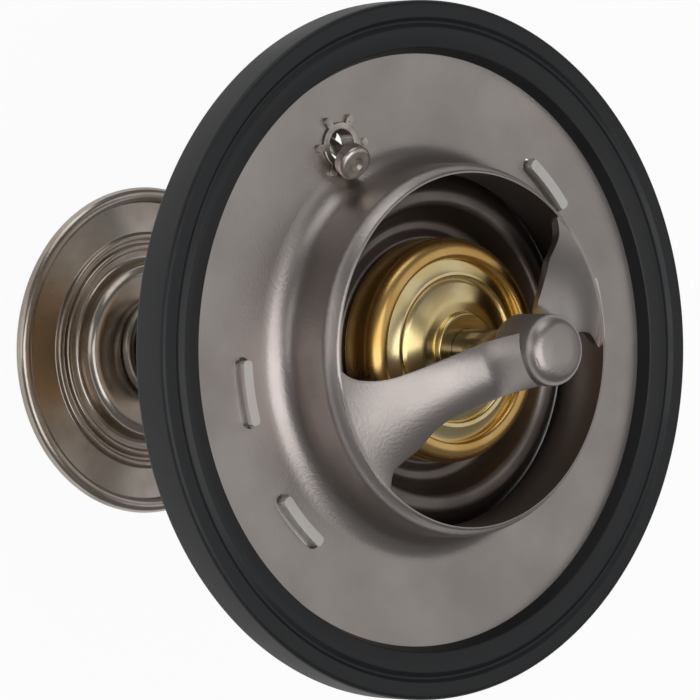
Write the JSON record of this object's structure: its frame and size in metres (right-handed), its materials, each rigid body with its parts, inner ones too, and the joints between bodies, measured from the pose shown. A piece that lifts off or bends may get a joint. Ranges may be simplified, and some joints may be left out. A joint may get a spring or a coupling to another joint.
{
  "type": "engine thermostat",
  "caption": "Wax thermostat for an engine's coolant: rubber-rimmed flange with a bridge, sprung main valve, loose vent pin and a sprung bypass disc.",
  "frame": {"origin": "on the element's axis, at the middle of the flange's bridge-side face", "axes": "+Z along the element's axis towards the bridge; the bridge lies along X; the vent pin stands on the +Y side"},
  "size_m": [0.076, 0.076, 0.0708],
  "materials": {
    "stainless_sheet": "pressed sheet, satin",
    "seal_rubber": "moulded, smooth",
    "ground_steel": "ground",
    "stainless_turned": "turned",
    "brass": "bright, drawn and turned",
    "inner_rubber": "moulded",
    "wax": "cast solid wax",
    "spring_wire": "drawn wire"
  },
  "bodies": {
    "frame": {"upper_flange": "stainless_sheet", "rim_seal": "seal_rubber", "lower_frame": "stainless_sheet", "piston": "ground_steel", "vent_crown": "stainless_turned", "main_spring": "spring_wire"},
    "valve": {"element_case": "brass", "element_cover": "brass", "piston_wiper": "inner_rubber", "elastomer_sleeve": "inner_rubber", "wax_charge": "wax", "main_valve": "stainless_sheet", "bypass_stem": "stainless_turned", "stem_washer": "stainless_turned", "bypass_spring": "spring_wire"},
    "bypass": {"bypass_disc": "stainless_sheet", "bypass_bush": "brass"},
    "vent_pin": {"vent_pin": "stainless_turned"}
  },
  "joints": [
    {"name": "valve_lift", "type": "slide", "parent": "frame", "child": "valve", "axis": [0, 0, -1], "range_m": [0, 0.009], "stiffness_N_per_m": 8000, "springref_m": -0.01, "deforming": ["main_spring"]},
    {"name": "bypass_float", "type": "slide", "parent": "valve", "child": "bypass", "axis": [0, 0, 1], "range_m": [0, 0.005], "stiffness_N_per_m": 1000, "springref_m": -0.012, "deforming": ["bypass_spring"]},
    {"name": "vent_pin_lean", "type": "hinge", "parent": "frame", "child": "vent_pin", "pos_m": [-0.00039, 0.02465, -0.00055], "axis": [-0.8827, 0.4699, 0], "range_deg": [0, 28]}
  ]
}
